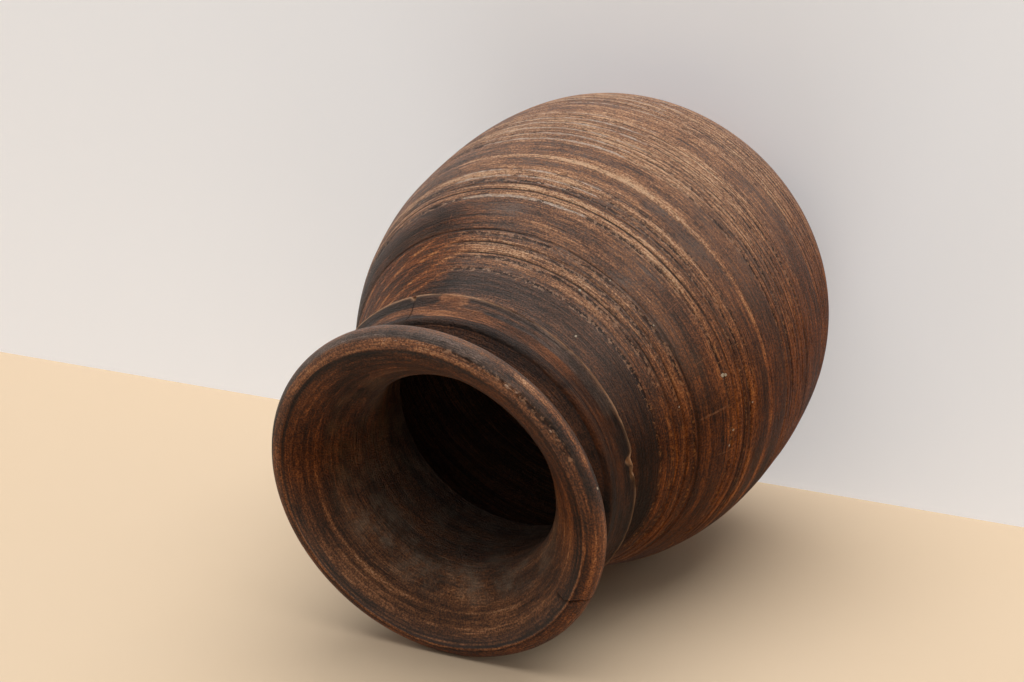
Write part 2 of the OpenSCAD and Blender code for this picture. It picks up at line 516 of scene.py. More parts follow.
class NodeWriter:
    """A short way to write a material's nodes: each call adds one and links its inputs."""

    def __init__(self, material: bpy.types.Material) -> None:
        """Empties the material's tree.

        Args:
            material: The material to write to.
        """
        material.use_nodes = True
        self.tree = material.node_tree
        self.tree.nodes.clear()

    def add(self, kind: str, inputs: dict[Any, Any] | None = None, **settings: Any) -> bpy.types.Node:
        """Adds a node.

        Args:
            kind: The node's type name without its ShaderNode prefix.
            inputs: Socket name or number to a constant or to another node's output.
            settings: The node's own settings.

        Returns:
            The new node.
        """
        node = self.tree.nodes.new("ShaderNode" + kind)
        for setting, value in settings.items():
            setattr(node, setting, value)
        for socket, value in (inputs or {}).items():
            if isinstance(value, bpy.types.NodeSocket):
                self.tree.links.new(value, node.inputs[socket])
            else:
                node.inputs[socket].default_value = value
        return node

    def math(self, operation: str, *values: Any, clamp: bool = False) -> bpy.types.NodeSocket:
        """Result of a Math node on the given numbers or sockets."""
        node = self.add("Math", dict(enumerate(values)), operation=operation, use_clamp=clamp)
        return node.outputs[0]

    def mark(self, name: str) -> bpy.types.NodeSocket:
        """A mark that the mesh carries, as a number."""
        return self.add("Attribute", attribute_name=name).outputs["Fac"]

    def noise(self, where: bpy.types.NodeSocket, per_metre: tuple, detail: float = 3.0,
              rough: float = 0.55) -> bpy.types.NodeSocket:
        """Noise of about 0 to 1, drawn out by a scale on each axis.

        Args:
            where: The coordinate that it reads.
            per_metre: Features per metre along each axis.
            detail: Number of finer octaves.
            rough: How strong the finer octaves are.

        Returns:
            The noise.
        """
        drawn = self.add("Mapping", {"Vector": where, "Scale": per_metre})
        return self.add("TexNoise", {"Vector": drawn.outputs[0], "Scale": 1.0, "Detail": detail,
                                     "Roughness": rough}).outputs[0]

    def spread(self, value: bpy.types.NodeSocket, low: float, high: float, to_low: float = 0.0,
               to_high: float = 1.0) -> bpy.types.NodeSocket:
        """Smooth ramp of a value between two limits.

        Args:
            value: The value.
            low: Where the ramp starts.
            high: Where it ends.
            to_low: The result at its start.
            to_high: The result at its end.

        Returns:
            The result.
        """
        return self.add("MapRange", {0: value, 1: low, 2: high, 3: to_low, 4: to_high},
                        interpolation_type="SMOOTHSTEP").outputs[0]

    def blend(self, share: Any, first: Any, second: Any, mode: str = "MIX") -> bpy.types.NodeSocket:
        """Mixes two colours by a share.

        Args:
            share: Share of the second colour.
            first: The first colour, or a socket.
            second: The second colour, or a socket.
            mode: How they mix.

        Returns:
            The mixed colour.
        """
        return self.add("Mix", {0: share, 6: first, 7: second}, data_type="RGBA", blend_type=mode).outputs[2]


def colour(code: str) -> tuple[float, float, float, float]:
    """Linear colour of a six-digit hexadecimal screen colour."""
    parts = [int(code[i : i + 2], 16) / 255.0 for i in (0, 2, 4)]
    return (*[p / 12.92 if p <= 0.04045 else ((p + 0.055) / 1.055) ** 2.4 for p in parts], 1.0)


@dataclass(frozen=True)
class Scratch:
    """A light line along the vase: its turn, its two heights and its width."""

    turn: float
    top: float
    bottom: float
    width: float = 0.22

    def share(self, w: NodeWriter, where: bpy.types.NodeSocket,
              film_and_sheen: bpy.types.NodeSocket) -> bpy.types.NodeSocket:
        """Share of the scratch: near the half plane of its turn, and between its heights.

        Args:
            w: The material's writer.
            where: Object coordinates.
            film_and_sheen: A noise that bends the line.

        Returns:
            The share, 0 to 1.
        """
        a = math.radians(TURN_START - self.turn)
        across = w.add("VectorMath", {0: where, 1: (-math.sin(a), math.cos(a), 0.0)}, operation="DOT_PRODUCT")
        outward = w.add("VectorMath", {0: where, 1: (math.cos(a), math.sin(a), 0.0)}, operation="DOT_PRODUCT")
        off = w.math("ABSOLUTE", w.math("MULTIPLY_ADD", film_and_sheen, 0.0006, across.outputs["Value"]))
        near = w.spread(off, 0.5 * self.width * MM, 0.9 * self.width * MM, 1.0, 0.0)
        height = w.add("SeparateXYZ", {0: where}).outputs[2]
        above = w.spread(height, (self.bottom - 1.0) * MM, (self.bottom + 1.0) * MM)
        below = w.spread(height, (self.top - 1.0) * MM, (self.top + 1.0) * MM, 1.0, 0.0)
        side = w.math("GREATER_THAN", outward.outputs["Value"], 0.0)
        rubbed = w.spread(w.noise(where, (900.0,) * 3, 2.0), 0.40, 0.55, 0.25, 0.85)
        stretch = w.math("MULTIPLY", side, w.math("MULTIPLY", above, below))
        return w.math("MULTIPLY", w.math("MULTIPLY", near, rubbed), stretch)


@dataclass(frozen=True)
class Speck:
    """A fleck of pale plaster: its turn, its height, its size, and the vase's radius there."""

    turn: float
    height: float
    size: float
    radius: float

    def share(self, w: NodeWriter, where: bpy.types.NodeSocket) -> bpy.types.NodeSocket:
        """Share of the speck: near its middle, with a ragged rim.

        Args:
            w: The material's writer.
            where: Object coordinates.

        Returns:
            The share, 0 to 1.
        """
        a = math.radians(TURN_START - self.turn)
        middle = (self.radius * math.cos(a) * MM, self.radius * math.sin(a) * MM, self.height * MM)
        distance = w.add("VectorMath", {0: where, 1: middle}, operation="DISTANCE").outputs["Value"]
        rim = w.noise(where, (1900.0,) * 3, 2.0)
        ragged = w.math("MULTIPLY_ADD", rim, 1.4 * self.size * MM, distance)
        return w.spread(ragged, 1.4 * self.size * MM, 1.7 * self.size * MM, 1.0, 0.0)


@dataclass(frozen=True)
class Noises:
    """The noises that the layers of a finish share, each from 0 to 1."""

    layers: bpy.types.NodeSocket
    fibres: bpy.types.NodeSocket
    grit: bpy.types.NodeSocket
    cloud: bpy.types.NodeSocket
    patch: bpy.types.NodeSocket


@dataclass(frozen=True)
class WaxedWood:
    """Dark stained and waxed hardwood, worn through to orange wood and dusty in its pores.

    The meshes carry its marks: tone, the grey film with painted sheen, porous, row (of
    crumbling pores), line and near (of whole grooves), pit, chalk, dust, bare, amber wax with
    painted warm shade, and the grain's coordinates.
    """

    name: str
    shades: tuple[tuple[float, str], ...] = (
        (0.0, "180f0a"), (0.18, "332117"), (0.36, "533523"), (0.55, "7a4d30"), (0.72, "a06b45"),
        (0.88, "bf8a5f"), (1.0, "d2a984"),
    )
    # Grey of the worn film, also the colour of the painted sheen.
    film_and_sheen_shade: str = "8c7569"
    pit_shade: str = "20120b"
    chalk_shade: str = "cdb6a4"
    crumb_shade: str = "b58d70"
    dust_shade: str = "8a7a6a"
    # Amber wax, also multiplied in as painted warm shade on the sides away from the light.
    amber_and_warm_shade_tint: str = "f4c880"
    bare_shade: str = "c8976f"
    scratch_shade: str = "8e5b3a"
    speck_shade: str = "b9ab94"
    roughness: float = 0.54
    relief: float = 0.8
    relief_depth: float = 0.0009
    streak: float = 0.17
    fibrous: float = 0.13
    gritty: float = 0.17
    cloudy: float = 0.12
    patchy: float = 0.13
    # How strongly the film and painted sheen cover the wood.
    film_and_sheen_share: float = 0.86
    pitted: float = 0.84
    crumbly: float = 0.62
    specks: tuple[Speck, ...] = ()
    scratches: tuple[Scratch, ...] = ()

    def make(self) -> bpy.types.Material:
        """Writes the finish as a material.

        The tone carried by the mesh is shifted by noise drawn out along the layers and
        along the fibres, and a ramp turns it into colour. Grey film with painted sheen, dark
        pores, pale dust, amber wax with painted warm shade and bare wood are mixed over it,
        then scratches and specks.

        Returns:
            The material.
        """
        material = bpy.data.materials.new(self.name)
        w = NodeWriter(material)
        grain = w.add("Attribute", attribute_name="grain").outputs["Vector"]
        where = w.add("TexCoord").outputs["Object"]
        noises = self.draw_noises(w, grain, where)
        tone = self.shift_tone(w, noises)
        film_and_sheen = self.spread_film_and_sheen(w, where, noises, tone)
        # Grey film mixed in: real film, and painted sheen where the mesh marks it on the lit front.
        film_and_sheen_share = w.math("MULTIPLY", film_and_sheen, self.film_and_sheen_share)
        shade = w.blend(film_and_sheen_share, self.stain(w, tone), colour(self.film_and_sheen_shade))
        pores, hollow = self.open_grain(w, grain, noises)
        pit = w.math("MAXIMUM", w.math("MAXIMUM", w.math("MULTIPLY", pores, 0.8), hollow), w.mark("pit"))
        shade = w.blend(w.math("MULTIPLY", pit, self.pitted), shade, colour(self.pit_shade))
        shade = self.fill_pores(w, grain, where, noises, shade)
        bloom = w.spread(w.noise(where, (150.0, 150.0, 150.0), 5.0, 0.75), 0.40, 0.72)
        bloom = w.math("MULTIPLY", bloom, w.mark("dust"), clamp=True)
        shade = w.blend(bloom, shade, colour(self.dust_shade))
        # Amber multiplied over the colour: amber wax, and painted warm shade on the sides away from the
        # light.
        amber_and_warm_shade = w.mark("amber_and_warm_shade")
        shade = w.blend(amber_and_warm_shade, shade, colour(self.amber_and_warm_shade_tint), "MULTIPLY")
        bare = w.math("MULTIPLY", w.mark("bare"), w.spread(noises.fibres, 0.2, 0.7, 0.7, 1.0), clamp=True)
        shade = w.blend(bare, shade, colour(self.bare_shade))
        for scratch in self.scratches:
            shade = w.blend(scratch.share(w, where, film_and_sheen), shade, colour(self.scratch_shade))
        for speck in self.specks:
            shade = w.blend(speck.share(w, where), shade, colour(self.speck_shade))

        rough = w.math("MULTIPLY_ADD", pit, 0.25, self.roughness - 0.12)
        rough = w.math("MULTIPLY_ADD", noises.cloud, 0.24, rough)
        rough = w.math("MULTIPLY_ADD", bloom, 0.2, rough, clamp=True)
        # Specular level lowered where the painted warm shade lies.
        gloss = w.math("MULTIPLY_ADD", amber_and_warm_shade, -0.55, 0.63)
        shader = w.add("BsdfPrincipled", {
            "Base Color": shade, "Roughness": rough, "Normal": self.emboss(w, noises, pores, hollow),
            "Specular IOR Level": gloss})
        w.add("OutputMaterial", {"Surface": shader.outputs[0]})
        return material

    @staticmethod
    def draw_noises(w: NodeWriter, grain: bpy.types.NodeSocket, where: bpy.types.NodeSocket) -> Noises:
        """Draws the shared noises.

        Args:
            w: The material's writer.
            grain: Coordinates along the fibres, across them and through the layers.
            where: Object coordinates.

        Returns:
            The noises.
        """
        return Noises(
            layers=w.spread(w.noise(grain, (15.0, 28.0, 1500.0), 4.0, 0.8), 0.36, 0.64),
            fibres=w.spread(w.noise(grain, (110.0, 330.0, 2700.0), 4.0, 0.7), 0.25, 0.75),
            grit=w.spread(w.noise(where, (1700.0, 1700.0, 1700.0), 2.0, 0.8), 0.36, 0.64),
            cloud=w.noise(where, (60.0, 60.0, 80.0), 4.0, 0.6),
            patch=w.spread(w.noise(grain, (34.0, 52.0, 230.0), 5.0, 0.7), 0.38, 0.62),
        )

    def shift_tone(self, w: NodeWriter, noises: Noises) -> bpy.types.NodeSocket:
        """Shifts the mesh's tone by each noise's share, more where the wood is bright.

        Args:
            w: The material's writer.
            noises: The shared noises.

        Returns:
            The tone.
        """
        tone = w.mark("tone")
        gain = w.math("MULTIPLY_ADD", tone, 1.0, 0.45)
        for noise, share in ((noises.layers, self.streak), (noises.fibres, self.fibrous),
                             (noises.grit, self.gritty), (noises.cloud, self.cloudy),
                             (noises.patch, self.patchy)):
            shift = w.math("MULTIPLY_ADD", noise, 2.0 * share, -share)
            tone = w.math("MULTIPLY_ADD", shift, gain, tone)
        return tone

    def stain(self, w: NodeWriter, tone: bpy.types.NodeSocket) -> bpy.types.NodeSocket:
        """Turns tone into the colour of the stained wood.

        Args:
            w: The material's writer.
            tone: The tone, 0 dark to 1 bright.

        Returns:
            The colour.
        """
        ramp = w.add("ValToRGB", {0: tone})
        ramp.color_ramp.elements[0].color = colour(self.shades[0][1])
        ramp.color_ramp.elements[1].color = colour(self.shades[-1][1])
        for place, code in self.shades[1:-1]:
            ramp.color_ramp.elements.new(place).color = colour(code)
        return ramp.outputs[0]

    @staticmethod
    def spread_film_and_sheen(w: NodeWriter, where: bpy.types.NodeSocket, noises: Noises,
                    tone: bpy.types.NodeSocket) -> bpy.types.NodeSocket:
        """Share of the grey film and its painted sheen, which lie in clouds on the dark layers.

        Args:
            w: The material's writer.
            where: Object coordinates.
            noises: The shared noises.
            tone: The shifted tone.

        Returns:
            The share.
        """
        clouds = w.spread(w.noise(where, (42.0, 42.0, 95.0), 5.0, 0.65), 0.40, 0.66)
        film_and_sheen = w.math("MULTIPLY", clouds, w.mark("film_and_sheen"), clamp=True)
        film_and_sheen = w.math("MULTIPLY", film_and_sheen, w.spread(tone, 0.66, 0.28))
        worn = w.math("MULTIPLY_ADD", w.math("MULTIPLY", noises.grit, noises.layers), 1.1, 0.35)
        return w.math("MULTIPLY", film_and_sheen, worn)

    @staticmethod
    def open_grain(w: NodeWriter, grain: bpy.types.NodeSocket,
                   noises: Noises) -> tuple[bpy.types.NodeSocket, bpy.types.NodeSocket]:
        """Small pores all over, and the holes of the crumbling rows and whole grooves.

        Args:
            w: The material's writer.
            grain: Grain coordinates.
            noises: The shared noises.

        Returns:
            Two shares: the pores and the hollows.
        """
        pores = w.spread(w.noise(grain, (290.0, 760.0, 2100.0), 3.0, 0.65), 0.55, 0.63)
        pores = w.math("MULTIPLY", pores, w.mark("porous"), clamp=True)
        cells = w.noise(grain, (85.0, 135.0, 720.0), 5.0, 0.85)
        holes = w.math("MULTIPLY_ADD", w.math("SUBTRACT", cells, 0.5), 3.2, w.mark("row"))
        holes = w.math("MULTIPLY", w.spread(holes, 0.78, 0.92), w.spread(w.mark("row"), 0.15, 0.45))
        ragged = w.math("MULTIPLY_ADD", cells, 1.1, -0.55)
        groove = w.math("ABSOLUTE", w.math("ADD", w.mark("line"), ragged))
        groove = w.math("MULTIPLY", w.spread(groove, 0.22, 0.55, 1.0, 0.0), w.mark("near"))
        groove = w.math("MULTIPLY", groove, w.spread(noises.patch, 0.2, 0.45, 0.25, 1.0))
        return pores, w.math("MAXIMUM", holes, groove)

    def fill_pores(self, w: NodeWriter, grain: bpy.types.NodeSocket, where: bpy.types.NodeSocket,
                   noises: Noises, shade: bpy.types.NodeSocket) -> bpy.types.NodeSocket:
        """Lays chalky dashes and pale crumbs into the rows of pores.

        Args:
            w: The material's writer.
            grain: Grain coordinates.
            where: Object coordinates.
            noises: The shared noises.
            shade: The colour so far.

        Returns:
            The colour with both.
        """
        flecks = w.noise(grain, (120.0, 190.0, 600.0), 4.0, 0.7)
        chalk = w.math("MULTIPLY_ADD", w.math("SUBTRACT", flecks, 0.5), 2.6, w.mark("chalk"))
        chalk = w.math("MULTIPLY", w.spread(chalk, 0.66, 0.80), w.spread(w.mark("chalk"), 0.15, 0.5))
        chalk = w.math("MULTIPLY", chalk, w.math("MULTIPLY_ADD", noises.grit, 0.6, 0.5), clamp=True)
        crumbs = w.spread(w.noise(where, (700.0, 700.0, 900.0), 2.0, 0.7), 0.53, 0.60)
        crumbs = w.math("MULTIPLY", crumbs, w.spread(w.mark("row"), 0.15, 0.6))
        shade = w.blend(chalk, shade, colour(self.chalk_shade))
        return w.blend(w.math("MULTIPLY", crumbs, self.crumbly), shade, colour(self.crumb_shade))

    def emboss(self, w: NodeWriter, noises: Noises, pores: bpy.types.NodeSocket,
               hollow: bpy.types.NodeSocket) -> bpy.types.NodeSocket:
        """Fine relief that the mesh is too coarse for: raised fibres and grit, sunk pores.

        Args:
            w: The material's writer.
            noises: The shared noises.
            pores: Share of the small pores.
            hollow: Share of the holes and grooves.

        Returns:
            The bent normal.
        """
        fibres = w.math("MULTIPLY_ADD", noises.layers, 0.5, w.math("MULTIPLY", noises.fibres, 0.6))
        relief = w.math("MULTIPLY_ADD", noises.grit, 0.55, w.math("MULTIPLY_ADD", pores, -0.6, fibres))
        relief = w.math("MULTIPLY_ADD", hollow, -1.2, relief)
        return w.add("Bump", {"Height": relief, "Strength": self.relief,
                              "Distance": self.relief_depth}).outputs[0]


# ---------------------------------------------------------------- the pieces


SPIGOT_RADIUS = 43.0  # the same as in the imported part, whose boxes don't show it
DEGREES = 57.3  # degrees in a radian
PLAIN_MARKS = ("film_and_sheen", "porous", "row", "line", "near", "pit", "chalk", "dust", "bare", "amber_and_warm_shade")

# Each speck's turn, height and size.
BODY_SPECKS = (
    (77.0, 104.3, 0.75), (77.3, 103.3, 0.6), (98.5, 104.0, 0.5), (94.0, 103.0, 0.4), (39.0, 135.5, 0.4),
    (30.3, 124.0, 0.45), (35.5, 116.6, 0.3), (53.5, 116.6, 0.35), (79.0, 120.3, 0.35), (89.0, 94.5, 0.35),
)
BODY_SCRATCHES = (
    Scratch(86.0, 114.5, 104.5, 0.5), Scratch(100.0, 109.0, 103.5), Scratch(70.0, 112.5, 106.0),
    Scratch(53.0, 111.0, 106.5), Scratch(43.0, 112.0, 108.5), Scratch(-20.0, 113.0, 109.0),
)


@dataclass
class Profile:
    """Sizes that the pieces share, in millimetres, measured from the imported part."""

    height: float
    land: float
    seat: float
    spigot_foot: float
    spigot_radius: float
    collar_radius: float
    belly_radius: float
    rim_radius: float
    plug_radius: float
    plug_top: float
    plug_foot: float

    @classmethod
    def measure(cls) -> "Profile":
        """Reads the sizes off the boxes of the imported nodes.

        Returns:
            The sizes.
        """
        low = {node: [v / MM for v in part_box(node)[0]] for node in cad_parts}
        high = {node: [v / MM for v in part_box(node)[1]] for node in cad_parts}
        return cls(
            height=high["neck"][2], land=high["body"][2], seat=high["collar_ring"][2],
            spigot_foot=low["neck"][2], spigot_radius=SPIGOT_RADIUS, collar_radius=high["collar_ring"][0],
            belly_radius=high["body"][0], rim_radius=high["neck"][0],
            plug_radius=high["base_plug"][0], plug_top=high["base_plug"][2], plug_foot=low["base_plug"][2],
        )


def blank_marks(shape: Turning) -> dict[str, np.ndarray]:
    """Marks that are zero all over a turned piece, ready to be filled in."""
    zero = np.zeros_like(shape.radius)
    return {mark: zero.copy() for mark in PLAIN_MARKS}


def finish_piece(piece: bpy.types.Object, node: str, material: bpy.types.Material) -> None:
    """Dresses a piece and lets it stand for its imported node.

    Args:
        piece: The new piece.
        node: Name of the node that it replaces.
        material: Its finish.
    """
    piece.data.materials.append(material)
    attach(piece, "root")
    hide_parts(node)
    LOG.info("%s: %d faces", piece.name, len(piece.data.polygons))


@dataclass
class Body:
    """The hollow turned body, from the landing under the collar to the foot ring."""

    profile: Profile
    belly_height: float = 62.0
    foot_radius: float = 39.5
    wall: float = 9.0
    foot_ring: float = 9.0
    landing: float = 4.0
    shoulder_tilt: float = 19.5
    foot_tilt: float = 66.0
    columns: int = 226
    swell: float = 0.16
    tool_marks: float = 0.035
    hard_layers: float = 0.10
    fan_turns: tuple[float, float] = (-60.0, -22.0)
    fan_heights: tuple[float, float] = (117.0, 141.0)
    fan_arcs: float = 5.4
    front_turns: tuple[float, float] = (-20.0, 16.0)
    timber: Timber = Timber(BODY_BANDS, BODY_GROOVES)

    def outline(self) -> list[Stretch]:
        """The closed outline, from the landing down the outside and back up the inside.

        Returns:
            Its stretches.
        """
        p = self.profile
        top = (p.spigot_radius + self.landing, p.land)
        belly = (p.belly_radius, self.belly_height)
        foot = (self.foot_radius, 0.0)
        span = p.land - self.belly_height
        tilt, lean = math.radians(self.shoulder_tilt), math.radians(self.foot_tilt)
        shoulder = bezier(top, (top[0] + 0.38 * span * math.sin(tilt), top[1] - 0.38 * span * math.cos(tilt)),
                          (belly[0], belly[1] + 0.53 * span), belly)
        lower = bezier(belly, (belly[0], 0.2 * belly[1]),
                       (foot[0] + 0.36 * belly[1] * math.sin(lean), 0.36 * belly[1] * math.cos(lean)), foot)
        inner, hollow, plug = foot[0] - self.foot_ring, p.plug_foot, p.plug_radius
        wall_radius, cavity = p.belly_radius - self.wall, self.foot_radius + 1.0
        low_wall = bezier((cavity, p.plug_top), (cavity + 13.0, p.plug_top + 2.0),
                          (wall_radius, p.plug_top + 16.0), (wall_radius, belly[1]))
        high_wall = bezier((wall_radius, belly[1]), (wall_radius, belly[1] + 30.0),
                           (p.spigot_radius + 10.0, p.spigot_foot - 14.0), (p.spigot_radius, p.spigot_foot))
        return [
            Stretch(shoulder, 0.37),
            Stretch(lower[:41], 0.50),
            Stretch(lower[40:], 0.85),
            Stretch(np.array([foot, (inner, 0.0)]), 1.5),
            Stretch(np.array([(inner, 0.0), (inner - 1.0, hollow)]), 0.9),
            Stretch(np.array([(inner - 1.0, hollow), (plug, hollow)]), 1.5),
            Stretch(np.array([(plug, hollow), (plug, p.plug_top)]), 4.0, Kind.JOINT),
            Stretch(np.array([(plug, p.plug_top), (cavity, p.plug_top)]), 4.0, Kind.INSIDE),
            Stretch(low_wall, 4.0, Kind.INSIDE),
            Stretch(high_wall, 4.0, Kind.INSIDE),
            Stretch(np.array([(p.spigot_radius, p.spigot_foot), (p.spigot_radius, p.land)]), 5.0, Kind.JOINT),
            Stretch(np.array([(p.spigot_radius, p.land), top]), 2.0, Kind.JOINT),
        ]

    def build(self) -> bpy.types.Object:
        """Makes the body with its worn grooves, ridges and tool marks.

        It moves out by slow swells, by tool marks and by how dark its layers are, and in
        by the depth of the worn grooves.

        Returns:
            The body.
        """
        shape = Turning(self.outline(), self.columns, fine_turns=((45.0, 200.0, 1.2),))
        outer = np.where(shape.kinds == Kind.OUTSIDE.value, shape.radius[:, 0], self.profile.belly_radius)
        layer = self.timber.layer(shape.place, outer[:, None])
        swell = RandomField(11).at(shape.place, (60.0, 60.0, 9.0)) * self.swell
        coarse = RandomField(12).at(shape.place, (9.0, 6.0, 1.9)) * self.tool_marks
        edge = RandomField(14).at(shape.place, (5.0, 5.0, 3.5))
        fan = sector(*self.fan_turns, 11.0, shape.turns - 5.0 * edge)
        fan = fan * between(*self.fan_heights, 3.0, shape.height)
        depth = self.timber.worn(shape.place, layer) * (1.0 - fan)
        tone = self.shade(shape, layer, fan, coarse)
        out = swell + coarse + self.hard_layers * (0.5 - tone) - depth
        out = shape.weight(Kind.OUTSIDE) * out * smooth(0.0, 2.5, shape.height)
        return shape.mesh("vase_body", out, self.mark(shape, layer, fan, depth, tone))

    def shade(self, shape: Turning, layer: np.ndarray, fan: np.ndarray, coarse: np.ndarray) -> np.ndarray:
        """Tone of the body: the layers' own, with arcs on the fan, painted shade on the sides and painted
        light on the front.

        Args:
            shape: The body's grid.
            layer: Height of the growth layer at each point.
            fan: Share of the patch where the layers show as arcs.
            coarse: The tool marks.

        Returns:
            Array of tones, 0 dark to 1 bright.
        """
        turns, height = shape.turns, shape.height
        # The sides that turn away from the light are darker: painted shade.
        sides = np.maximum(sector(100.0, 132.0, 42.0, turns), sector(-142.0, -95.0, 42.0, turns))
        tone = self.timber.tone(layer) - 0.12 * sides
        arcs = np.cos((height + 0.36 * turns + 4.0 * coarse) * 2.0 * np.pi / self.fan_arcs)
        tone += fan * (0.40 + 0.26 * smooth(0.5, 0.98, arcs) - tone)
        # The upper left, away from the light, is darker: painted shade.
        tone -= 0.18 * sector(-100.0, -26.0, 26.0, turns) * smooth(98.0, 108.0, height) * (1.0 - fan)
        # The front that faces the light is lighter, more so low down: painted light.
        tone += 0.09 * between(-15.0, 46.0, 16.0, turns)
        tone += 0.09 * between(-50.0, 28.0, 18.0, turns) * (1.0 - smooth(94.0, 104.0, height))
        # Dark layers are lifted a little on the right side.
        return tone + 0.06 * sector(70.0, 125.0, 30.0, turns) * (1.0 - smooth(0.36, 0.5, tone))

    def mark(self, shape: Turning, layer: np.ndarray, fan: np.ndarray, depth: np.ndarray,
             tone: np.ndarray) -> dict[str, np.ndarray]:
        """Marks for the finish: pores and chalk in front, grey film with painted sheen in front, amber wax
        with painted warm shade on both sides and behind.

        Args:
            shape: The body's grid.
            layer: Height of the growth layer at each point.
            fan: Share of the patch where the layers show as arcs.
            depth: Depth of the worn grooves.
            tone: Tone of the wood.

        Returns:
            The marks by name.
        """
        turns, height = shape.turns, shape.height
        outside = shape.weight(Kind.OUTSIDE)
        front = between(*self.front_turns, 8.0, turns)
        marks = blank_marks(shape)
        marks["tone"] = np.where(outside > 0.0, tone, 0.45)
        marks["row"] = outside * self.timber.rows(layer) * (1.0 - 0.75 * fan)
        marks["row"] *= 1.0 - 0.5 * smooth(62.0, 80.0, np.abs(turns - 5.0))
        marks["line"], marks["near"] = self.timber.lines(layer)
        marks["near"] *= outside * (1.0 - fan) * (1.0 - 0.7 * smooth(52.0, 78.0, np.abs(turns - 10.0)))
        marks["pit"] = 0.5 * outside * np.clip(depth / 0.5, 0.0, 1.0) * (1.0 - 0.6 * front)
        faint = np.maximum(smooth(106.0, 112.0, height), bump(98.0, 3.0, height))
        marks["chalk"] = outside * smooth(0.3, 0.9, marks["row"]) * front * (1.0 - 0.55 * faint)
        marks["porous"] = outside * (0.3 + 0.6 * smooth(0.3, 0.7, tone))
        # The film is strongest on the front that faces the light: a real grey film with painted sheen over
        # it.
        marks["film_and_sheen"] = outside * (0.15 + 0.85 * sector(2.0, 54.0, 28.0, turns))
        marks["film_and_sheen"] *= 1.0 - 0.8 * smooth(128.0, 131.0, height)
        # Amber deepened on the upper left, the right and the back, away from the light: painted warm shade.
        left = 0.75 * sector(-100.0, -25.0, 25.0, turns) * smooth(100.0, 112.0, height)
        right = 0.98 * sector(92.0, 125.0, 55.0, turns)
        behind = 0.3 * sector(120.0, 240.0, 40.0, turns)
        amber_and_warm_shade = np.maximum(np.maximum(right, behind), left)
        marks["amber_and_warm_shade"] = outside * amber_and_warm_shade * (0.3 + 0.7 * smooth(2.0, 22.0, height))
        marks["grain"] = shape.with_height(layer) * MM
        return marks

    def dress(self, piece: bpy.types.Object) -> None:
        """Gives the body its waxed wood, with the specks and scratches on its side.

        Args:
            piece: The body.
        """
        shoulder = self.outline()[0].points[::-1]
        specks = tuple(Speck(turn, height, size, float(np.interp(height, shoulder[:, 1], shoulder[:, 0])))
                       for turn, height, size in BODY_SPECKS)
        wood = WaxedWood("body_wood", specks=specks, scratches=BODY_SCRATCHES)
        finish_piece(piece, "body", wood.make())


